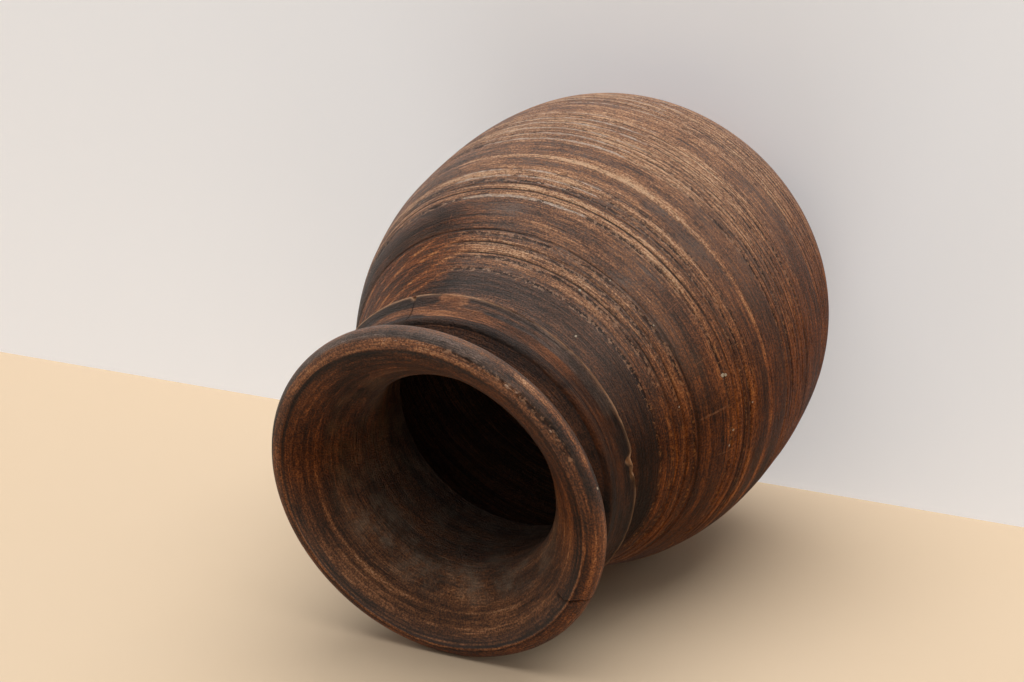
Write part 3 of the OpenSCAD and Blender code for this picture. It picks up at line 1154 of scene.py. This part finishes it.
@dataclass
class CollarRing:
    """The ring with a thin, sharp lower edge that hides the neck's joint."""

    profile: Profile
    top_radius: float = 48.5
    landing: float = 4.0
    edge_rise: float = 2.5
    round_over: float = 1.5
    columns: int = 620
    crack_turn: float = -18.0
    nick_turn: float = -18.5
    chip_turn: float = 83.6
    chip_tail: float = 88.0
    wedge_turn: float = 49.5
    wedge_foot: float = 150.5
    timber: Timber = Timber(COLLAR_BANDS, (), seed=5)

    def outline(self) -> list[Stretch]:
        """The closed outline, from the seat out, down the flared face and back under it.

        Returns:
            Its stretches.
        """
        p, over = self.profile, self.round_over
        bore, edge = p.spigot_radius, (p.collar_radius, p.land + self.edge_rise)
        corner = (self.top_radius - over, p.seat - over)
        face = bezier((self.top_radius, corner[1]), (self.top_radius, p.seat - 4.0),
                      (edge[0] - 2.0, edge[1] + 3.0), edge)
        under = np.array([edge, (bore + self.landing + 1.0, p.land + 1.0), (bore + self.landing, p.land)])
        return [
            Stretch(np.array([(bore, p.seat), (corner[0], p.seat)]), 0.5),
            Stretch(arc(corner, (over, over), 90.0, 0.0), 0.3),
            Stretch(face, 0.24),
            Stretch(under[:2], 0.45),
            Stretch(under[1:], 0.7),
            Stretch(np.array([under[2], (bore, p.land)]), 2.0, Kind.JOINT),
            Stretch(np.array([(bore, p.land), (bore, p.seat)]), 4.0, Kind.JOINT),
        ]

    def build(self) -> bpy.types.Object:
        """Makes the ring with its nicked edge, the torn chip and the drying crack.

        Returns:
            The ring.
        """
        fine_turns = ((self.crack_turn, 5.0, 7.0), (85.5, 9.0, 7.0))
        shape = Turning(self.outline(), self.columns, fine_turns=fine_turns)
        p, turns = self.profile, shape.turns
        edge = p.land + self.edge_rise
        rise = shape.height - edge
        layer = self.timber.layer(shape.place, shape.radius)
        wander = RandomField(21).at(shape.place, (9.0, 9.0, 9.0)) * 0.22
        nibble = smooth(0.25, 0.9, RandomField(22).at(shape.place, (2.2, 2.2, 4.0))) * 0.25
        torn = RandomField(23).at(shape.place, (1.3, 1.3, 0.8))
        chip = bump(self.chip_turn, 4.6 - 1.5 * rise, turns) * smooth(edge + 2.6, edge + 1.6, shape.height)
        tail = bump(self.chip_tail, 4.2, turns) * smooth(edge + 1.7, edge + 0.8, shape.height)
        chip = np.maximum(chip, 0.9 * tail)
        nick = bump(self.nick_turn, 1.6, turns) * bump(edge + 0.2, 1.6, shape.height)
        crack = bump(self.crack_turn + 0.3 * torn[:, :1], 0.5, turns)
        crack = crack * between(edge + 0.4, p.seat - 1.2, 0.6, shape.height)
        ridge = RandomField(24).at(shape.with_height(layer), (16.0, 12.0, 0.7)) * 0.06
        out = (wander + ridge) - bump(edge, 2.4, shape.height) * nibble
        out = out - chip * (1.25 + 0.4 * torn) - 0.55 * nick - 0.5 * crack
        out = out * shape.weight(Kind.OUTSIDE)
        return shape.mesh("collar", out, self.mark(shape, layer, chip, nick, crack))

    def mark(self, shape: Turning, layer: np.ndarray, chip: np.ndarray, nick: np.ndarray,
             crack: np.ndarray) -> dict[str, np.ndarray]:
        """Marks for the finish: a worn band and patch, a dark wedge and bare wood on the edge, with a painted
        highlight along the edge, painted sheen on the lower face in front, painted light on the top in front
        and painted warm shade on the right.

        Args:
            shape: The ring's grid.
            layer: Height of the growth layer at each point.
            chip: Share of the torn chip.
            nick: Share of the small nick.
            crack: Share of the drying crack.

        Returns:
            The marks by name.
        """
        turns, height = shape.turns, shape.height
        rise = height - (self.profile.land + self.edge_rise)
        ragged = RandomField(25).at(shape.with_height(layer), (9.0, 5.0, 0.8))
        patch = between(-6.5, 3.0, 1.5, turns + 1.6 * ragged + 0.5 * rise) * (rise < 8.0)
        patch = np.maximum(patch, between(-10.5, 8.0, 2.5, turns + 3.0 * ragged) * smooth(2.4, 4.0, rise))
        fade = 0.25 + 0.35 * sector(-32.0, 10.0, 12.0, turns) + 0.40 * sector(-32.0, 36.0, 20.0, turns)
        band = between(3.9, 6.6, 0.5, rise + 0.3 * ragged) * fade
        lower = between(0.3, 3.4, 0.5, rise) * between(4.0, 62.0, 6.0, turns)
        wedge = bump(self.wedge_turn - 0.55 * (height - self.wedge_foot), 3.2, turns)
        wedge = wedge * smooth(150.0, 152.5, height)
        marks = blank_marks(shape)
        # The top is lighter in front, towards the light: painted light.
        marks["tone"] = 0.15 + 0.12 * smooth(7.0, 9.0, rise) * sector(-40.0, 80.0, 20.0, turns) - 0.05 * wedge
        marks["tone"] += 0.36 * np.maximum(band, patch * (rise < 7.5))
        # A pale line on the lower face in front: painted highlight.
        bright = bump(2.2, 1.1, rise + 0.3 * ragged) * (1.0 - smooth(30.0, 45.0, turns))
        marks["tone"] += 0.30 * lower * bright
        # The sharp edge worn bare, less so on the right: bare wood, partly a painted highlight along the
        # edge.
        worn = smooth(-0.9, 0.0, RandomField(26).at(shape.place, (6.0, 6.0, 6.0))) * bump(0.0, 0.8, rise)
        worn *= 1.0 - 0.5 * sector(90.0, 140.0, 30.0, turns)
        worn *= shape.radius > self.profile.collar_radius - 1.5
        marks["bare"] = np.clip(1.5 * chip + 1.3 * nick + 0.85 * worn, 0.0, 1.0)
        marks["pit"] = np.clip(1.4 * crack + 0.6 * wedge, 0.0, 1.0)
        # Grey film on the lower face in front: painted sheen.
        marks["film_and_sheen"] = 0.9 * lower
        # Amber wax, deeper on the right away from the light: painted warm shade.
        marks["amber_and_warm_shade"] = 0.35 + 0.45 * sector(70.0, 130.0, 45.0, turns) - 0.3 * lower
        marks["porous"] = np.full_like(turns, 0.3)
        marks["grain"] = shape.with_height(layer) * MM
        return marks

    def dress(self, piece: bpy.types.Object) -> None:
        """Gives the ring its dark wood with fine streaks."""
        wood = WaxedWood("collar_wood", streak=0.14, gritty=0.09)
        finish_piece(piece, "collar_ring", wood.make())


@dataclass
class Neck:
    """The flared mouth with its rounded lip, the waist, the throat and the spigot."""

    profile: Profile
    lip: float = 9.0
    lip_bulge: float = 4.6
    throat_radius: float = 33.0
    waist_radius: float = 41.5
    seat_radius: float = 46.5
    spigot_wall: float = 4.0
    throat_bend: float = 12.0
    throat_slope: float = 38.7
    columns: int = 440
    crack_turn: float = 117.0
    streak_turns: tuple[float, float] = (16.0, 62.0)
    streak_around: float = 57.0
    timber: Timber = Timber(NECK_BANDS, NECK_GROOVES, seed=7)

    def outline(self) -> list[Stretch]:
        """The closed outline: lip, cove, spigot, then up the throat and the funnel.

        Returns:
            Its stretches.
        """
        p, half = self.profile, 0.5 * self.lip
        lip, rim = p.rim_radius - self.lip_bulge, p.height - half
        waist, seat, throat = p.seat + 5.5, p.seat, p.seat + 2.5
        slope, bend = math.radians(self.throat_slope), self.throat_bend
        middle = (self.throat_radius + bend, throat)
        bend_top = (middle[0] - bend * math.cos(slope), middle[1] + bend * math.sin(slope))
        foot, seat_edge = (p.spigot_radius, p.spigot_foot), (p.spigot_radius, seat)
        foot_in = (p.spigot_radius - self.spigot_wall, p.spigot_foot)
        cove = np.concatenate([
            bezier((lip, rim - half), (lip - 4.0, rim - half), (self.waist_radius, waist + 5.0),
                   (self.waist_radius, waist)),
            bezier((self.waist_radius, waist), (self.waist_radius, waist - 3.5),
                   (self.seat_radius - 2.5, seat + 0.6), (self.seat_radius, seat))[1:]])
        bore = bezier(foot_in, (foot_in[0] - 2.0, p.spigot_foot + 12.0),
                      (self.throat_radius, throat - 14.0), (self.throat_radius, throat))
        funnel = bezier(bend_top, (bend_top[0] + 9.0 * math.sin(slope), bend_top[1] + 9.0 * math.cos(slope)),
                        (lip - 6.0, p.height), (lip, p.height))
        return [
            Stretch(arc((lip, rim), (self.lip_bulge, half), 90.0, -90.0), 0.4),
            Stretch(cove, 0.5),
            Stretch(np.array([(self.seat_radius, seat), seat_edge]), 1.5, Kind.JOINT),
            Stretch(np.array([seat_edge, foot]), 6.0, Kind.JOINT),
            Stretch(np.array([foot, foot_in]), 1.0, Kind.INSIDE),
            Stretch(bore, 1.0, Kind.INSIDE),
            Stretch(arc(middle, (bend, bend), 180.0, 180.0 - self.throat_slope), 0.5, Kind.INSIDE),
            Stretch(funnel, 0.36, Kind.INSIDE),
        ]

    def build(self) -> bpy.types.Object:
        """Makes the neck with its lip's pits, the drying crack and the funnel's ridges.

        It moves out by slow swells, fine ridges and the funnel's turning rings, and in by
        the pits, the crack and the worn grooves.

        Returns:
            The neck.
        """
        fine_turns = ((118.0, 4.0, 7.0), (35.0, 50.0, 1.0))
        shape = Turning(self.outline(), self.columns, fine_turns=fine_turns)
        p, turns, radius, height = self.profile, shape.turns, shape.radius, shape.height
        layer = self.timber.layer(shape.place, radius)
        crumbs = RandomField(31).at(shape.place, (1.6, 1.2, 1.2))
        crumbs = crumbs + 0.5 * RandomField(32).at(shape.place, (5.0, 5.0, 5.0))
        over_lip = smooth(p.height - self.lip, p.height - self.lip + 2.0, height)
        around = self.around_lip(shape)
        streak = between(*self.streak_turns, 12.0, turns) * bump(self.streak_around, 24.0, around)
        pits = streak * smooth(-0.2, 0.4, crumbs) * 0.5
        bend = self.crack_turn + 4.0 * smooth(40.0, 120.0, around) + 0.5 * crumbs
        crack = bump(0.0, 0.55, turns - bend) * over_lip * (radius > p.rim_radius - self.lip_bulge - 4.5)
        rings = np.sin(radius * 2.6 + 1.6 * RandomField(33).at(shape.place, (30.0, 30.0, 30.0)))
        inside = (shape.kinds == Kind.INSIDE.value)[:, None]
        funnel = inside * smooth(150.0, 166.0, height)
        wander = RandomField(34).at(shape.place, (26.0, 26.0, 14.0)) * 0.28
        ridges = RandomField(35).at(shape.with_height(layer), (22.0, 14.0, 0.9))
        worn = self.timber.worn(shape.place, layer)
        out = wander + 0.05 * ridges + funnel * (0.05 * rings - worn) - pits - 0.6 * crack
        out *= shape.weight(Kind.OUTSIDE, Kind.INSIDE)
        marks = self.mark(shape, over_lip, funnel, streak, crumbs)
        marks["tone"] = self.paint(shape, layer, funnel)
        marks["pit"] = np.clip(1.6 * pits + 1.3 * crack, 0.0, 1.0)
        return shape.mesh("vase_neck", out, marks)

    def mark(self, shape: Turning, over_lip: np.ndarray, funnel: np.ndarray, streak: np.ndarray,
             crumbs: np.ndarray) -> dict[str, np.ndarray]:
        """Marks for the finish: chalk along the lip, grey film with painted sheen on its front, dust in the
        throat, amber wax with painted warm shade.

        Args:
            shape: The neck's grid.
            over_lip: 1 on the lip and above it.
            funnel: 1 inside the mouth.
            streak: Share of the crumbled streak on the lip.
            crumbs: Noise that breaks it up.

        Returns:
            The marks by name, all but tone and pits.
        """
        turns, height, around = shape.turns, shape.height, self.around_lip(shape)
        inside = (shape.kinds == Kind.INSIDE.value)[:, None]
        back = 1.0 - sector(-75.0, 75.0, 60.0, turns)
        marks = blank_marks(shape)
        line = bump(59.0, 6.0, around + 4.0 * crumbs) * between(-62.0, 16.0, 12.0, turns)
        marks["row"] = 0.75 * streak
        marks["chalk"] = np.maximum(0.75 * streak * smooth(0.1, -0.5, crumbs), 0.62 * line)
        # Film on the lip's front, towards the light: painted sheen.
        marks["film_and_sheen"] = over_lip * between(-60.0, 36.0, 16.0, turns) * between(-30.0, 48.0, 8.0, around)
        marks["dust"] = 0.45 * funnel * back * (1.0 - smooth(165.0, 172.0, height)) + 0.25 * (1.0 - over_lip)
        marks["dust"] += 0.4 * (1.0 - funnel) * sector(150.0, 290.0, 40.0, turns)
        marks["dust"] *= inside
        marks["porous"] = np.full_like(turns, 0.3)
        marks["grain"] = shape.with_height(shape.along) * MM
        # Amber deeper away from the front and inside the front of the mouth, where shade falls: painted warm
        # shade.
        marks["amber_and_warm_shade"] = 0.35 + 0.35 * smooth(40.0, 100.0, np.abs(turns - 5.0)) - 0.3 * marks["film_and_sheen"]
        marks["amber_and_warm_shade"] += 0.25 * funnel * (1.0 - back)
        marks["amber_and_warm_shade"] *= 1.0 - 0.9 * inside * back
        return marks

    def paint(self, shape: Turning, layer: np.ndarray, funnel: np.ndarray) -> np.ndarray:
        """Tone of the neck, 0 dark to 1 bright: bands round the lip and the funnel, with painted light on the
        front of the cove and on the funnel's wall that faces the light.

        Args:
            shape: The neck's grid.
            layer: Height of the growth layer at each point.
            funnel: 1 inside the mouth.

        Returns:
            Array of tones.
        """
        turns, height = shape.turns, shape.height
        lip_foot = self.profile.height - self.lip
        on_lip = smooth(lip_foot - 0.5, lip_foot + 1.5, height)
        around = self.around_lip(shape)
        wander = 5.0 * RandomField(36).at(shape.place, (18.0, 18.0, 18.0))
        wander += 2.5 * RandomField(37).at(shape.place, (5.0, 5.0, 5.0))
        front = between(-80.0, 74.0, 18.0, turns)
        rings = [np.interp(around + wander, *np.array(table).T) for table in (LIP_FRONT, LIP_BACK)]
        painted = front * rings[0] + (1.0 - front) * rings[1]
        painted += 0.30 * bump(8.0, 44.0, around) * between(40.0, 66.0, 7.0, turns + 0.8 * wander)
        painted -= 0.22 * bump(self.streak_around, 20.0, around) * between(*self.streak_turns, 12.0, turns)
        painted -= 0.16 * bump(0.0, 50.0, around) * between(72.0, 80.0, 4.0, turns)
        blotch = RandomField(38).at(shape.place, (11.0, 11.0, 7.0))
        blotch = blotch + 0.5 * RandomField(39).at(shape.place, (4.0,) * 3)
        # Inside, the wall on the table side faces the light and is lighter: painted light.
        inner = self.timber.tone(layer) + 0.05 + 0.17 * sector(95.0, 225.0, 35.0, turns) + 0.06 * blotch
        inside = (shape.kinds == Kind.INSIDE.value)[:, None]
        bore = 0.32 + 0.10 * sector(150.0, 290.0, 40.0, turns) * smooth(128.0, 146.0, height)
        # The cove under the lip is lighter in front: painted light.
        cove = 0.17 + 0.13 * sector(-60.0, 75.0, 30.0, turns) + 0.05 * blotch
        tone = np.where(inside, bore + funnel * (inner - bore), cove)
        painted += 0.11 * RandomField(40).at(shape.with_height(shape.along), (20.0, 20.0, 0.7))
        near_lip = on_lip * (1.0 - smooth(128.0, 140.0, around)) * (1.0 - smooth(-40.0, -70.0, around))
        return tone + near_lip * (painted - tone)

    def around_lip(self, shape: Turning) -> np.ndarray:
        """Angle round the lip's cross section: 0 outermost, 90 on the crest, more inside the mouth.

        Inward of the crest it is 90 plus the distance over the bulge, taken as an angle.

        Args:
            shape: The neck's grid.

        Returns:
            Array of degrees.
        """
        lip, half = self.profile.rim_radius - self.lip_bulge, 0.5 * self.lip
        across = (shape.radius - lip) / self.lip_bulge
        up = (shape.height - self.profile.height + half) / half
        return np.where(across > 0.0, np.degrees(np.arctan2(up, across)), 90.0 - DEGREES * across)

    def dress(self, piece: bpy.types.Object) -> None:
        """Gives the neck its handled, darker wood, with a speck on the rim.

        Args:
            piece: The neck.
        """
        wood = WaxedWood("neck_wood", roughness=0.5, streak=0.10, gritty=0.19,
                         specks=(Speck(77.0, 173.2, 0.6, self.profile.rim_radius),))
        finish_piece(piece, "neck", wood.make())


@dataclass
class BasePlug:
    """The round plug glued into the hole at the centre of the base."""

    profile: Profile
    edge: float = 0.5
    middle: float = 1.0
    columns: int = 96

    def outline(self) -> list[Stretch]:
        """The open outline, from near the middle of the top, over the side, to the middle below.

        Returns:
            Its stretches.
        """
        p, e = self.profile, self.edge
        points = [(self.middle, p.plug_top), (p.plug_radius - e, p.plug_top), (p.plug_radius, p.plug_top - e),
                  (p.plug_radius, p.plug_foot + e), (p.plug_radius - e, p.plug_foot),
                  (self.middle, p.plug_foot)]
        return [Stretch(np.array([a, b]), 0.8) for a, b in zip(points, points[1:])]

    def build(self) -> bpy.types.Object:
        """Makes the plug with faint turning rings on its two faces.

        Returns:
            The plug.
        """
        shape = Turning(self.outline(), self.columns, closed=False)
        rings = 0.06 * np.sin(shape.radius * 3.2) * (shape.radius < self.profile.plug_radius - 1.5)
        layer = shape.height + 0.3 * RandomField(41).at(shape.place, (9.0, 9.0, 9.0))
        marks = blank_marks(shape)
        marks["tone"] = 0.42 + 0.2 * RandomField(42).at(shape.place, (12.0, 2.0, 5.0))
        marks["porous"] = np.ones_like(layer)
        marks["film_and_sheen"] = np.full_like(layer, 0.4)
        marks["grain"] = shape.with_height(layer) * MM
        return shape.mesh("base_plug_disc", rings, marks)

    def dress(self, piece: bpy.types.Object) -> None:
        """Gives the plug its stained wood."""
        finish_piece(piece, "base_plug", WaxedWood("plug_wood", roughness=0.62).make())


# ---------------------------------------------------------------- the studio


@dataclass(frozen=True)
class Lamp:
    """A square soft light: azimuth, elevation and distance from the vase, side and power."""

    name: str
    azimuth: float
    elevation: float
    distance: float
    side: float
    power: float
    tint: tuple[float, float, float] = (1.0, 1.0, 1.0)


@dataclass
class Studio:
    """The camera, the pale table that the vase leans on, the floor under it and the light."""

    lens: float = 84.375
    sensor: float = 36.0
    eye: tuple[float, float, float] = (0.0292, -0.4779, 0.6936)
    aim: tuple[float, float, float] = (0.0160, 0.0017, 0.0950)
    roll: float = 134.92
    table_turn: float = 180.0
    table_lean: float = 10.75
    lamps: tuple[Lamp, ...] = (
        Lamp("sky", -45.0, -13.0, 1.7, 2.4, 58.0, (1.0, 0.995, 0.985)),
        Lamp("room", -62.0, 50.0, 1.8, 1.2, 2.5),
        Lamp("back", 135.0, 30.0, 1.8, 1.2, 6.0),
    )
    middle: tuple[float, float, float] = (0.0, 0.0, 0.09)
    surround: tuple[float, float, float, float] = (1.0, 0.97, 0.93, 1.0)
    surround_strength: float = 0.26
    half_lip: float = 4.5
    floor_shade: str = "dadde2"
    floor_glow: float = 0.36
    table_shade: str = "c1ab8f"

    def set_camera(self) -> None:
        """Places the camera, looks at the aim point and rolls about the line of sight."""
        camera = bpy.data.cameras.new("camera")
        camera.lens = self.lens
        camera.sensor_width = self.sensor
        camera.clip_start, camera.clip_end = 0.01, 20.0
        holder = bpy.data.objects.new("camera", camera)
        bpy.context.scene.collection.objects.link(holder)
        look = (Vector(self.aim) - Vector(self.eye)).normalized()
        turned = look.to_track_quat("-Z", "Y").to_matrix().to_4x4()
        roll = Matrix.Rotation(math.radians(self.roll), 4, look)
        holder.matrix_world = Matrix.Translation(self.eye) @ roll @ turned
        bpy.context.scene.camera = holder

    def set_lights(self) -> None:
        """Makes the soft lights and an even pale surround."""
        for lamp in self.lamps:
            a, e = math.radians(lamp.azimuth), math.radians(lamp.elevation)
            away = Vector((math.cos(a) * math.cos(e), math.sin(a) * math.cos(e), math.sin(e)))
            light = bpy.data.lights.new(lamp.name, "AREA")
            light.size, light.energy, light.color = lamp.side, lamp.power, lamp.tint
            holder = bpy.data.objects.new(lamp.name, light)
            holder.location = Vector(self.middle) + away * lamp.distance
            holder.rotation_euler = away.to_track_quat("Z", "Y").to_euler()
            holder.visible_camera = False
            bpy.context.scene.collection.objects.link(holder)
        world = bpy.data.worlds.new("surround")
        world.use_nodes = True
        world.node_tree.nodes["Background"].inputs[0].default_value = self.surround
        world.node_tree.nodes["Background"].inputs[1].default_value = self.surround_strength
        bpy.context.scene.world = world
        bpy.context.scene.view_settings.view_transform = "Standard"

    def set_stage(self, profile: Profile) -> None:
        """Makes the floor under the foot and the table that touches rim and belly.

        Args:
            profile: Sizes of the vase.
        """
        floor = colour(self.floor_shade)
        self.plane("floor", Vector((0, 0, 0)), Vector((0, 0, 1)), 6.0, floor, False, self.floor_glow)
        a = math.radians(TURN_START - self.table_turn)
        lean = math.radians(self.table_lean)
        normal = -Vector((math.cos(a) * math.cos(lean), math.sin(a) * math.cos(lean), math.sin(lean)))
        rim = Vector((math.cos(a), math.sin(a), 0.0)) * profile.rim_radius * MM
        rim.z = (profile.height - self.half_lip) * MM
        self.plane("table", rim, normal, 4.0, colour(self.table_shade), True, 0.0)

    @staticmethod
    def plane(name: str, centre: Vector, normal: Vector, side: float, tint: tuple, one_sided: bool,
              glow: float) -> None:
        """Makes a stage plane with a faintly mottled pale finish.

        Args:
            name: Name of the object and its material.
            centre: A point of the plane, in metres.
            normal: The way it faces.
            side: Length of its side, in metres.
            tint: Its colour.
            one_sided: Whether it is clear from behind.
            glow: Light that it gives off itself, as a lit backdrop does.
        """
        turn = normal.to_track_quat("Z", "Y")
        places = [centre + turn @ Vector((x * side / 2, y * side / 2, 0.0))
                  for x, y in ((-1, -1), (1, -1), (1, 1), (-1, 1))]
        mesh = bpy.data.meshes.new(name)
        mesh.from_pydata(places, [], [(0, 1, 2, 3)])
        ground = bpy.data.objects.new(name, mesh)
        bpy.context.scene.collection.objects.link(ground)
        material = bpy.data.materials.new(name)
        w = NodeWriter(material)
        mottle = w.noise(w.add("TexCoord").outputs["Object"], (9.0, 9.0, 9.0), 4.0)
        shade = w.blend(w.math("MULTIPLY", mottle, 0.12), tint, (0.5, 0.45, 0.4, 1.0))
        surface = w.add("BsdfPrincipled", {"Base Color": shade, "Roughness": 0.8, "Emission Color": tint,
                                           "Emission Strength": glow}).outputs[0]
        ground.visible_shadow = False
        if one_sided:
            clear = w.add("BsdfTransparent").outputs[0]
            behind = w.add("NewGeometry").outputs["Backfacing"]
            surface = w.add("MixShader", {0: behind, 1: surface, 2: clear}).outputs[0]
        w.add("OutputMaterial", {"Surface": surface})
        mesh.materials.append(material)


def main() -> None:
    logging.basicConfig(level=logging.INFO, format="%(message)s")
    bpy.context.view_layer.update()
    profile = Profile.measure()
    studio = Studio()
    studio.set_camera()
    studio.set_lights()
    studio.set_stage(profile)
    for part in (Body(profile), CollarRing(profile), Neck(profile), BasePlug(profile)):
        part.dress(part.build())


if __name__ == "__main__":
    main()
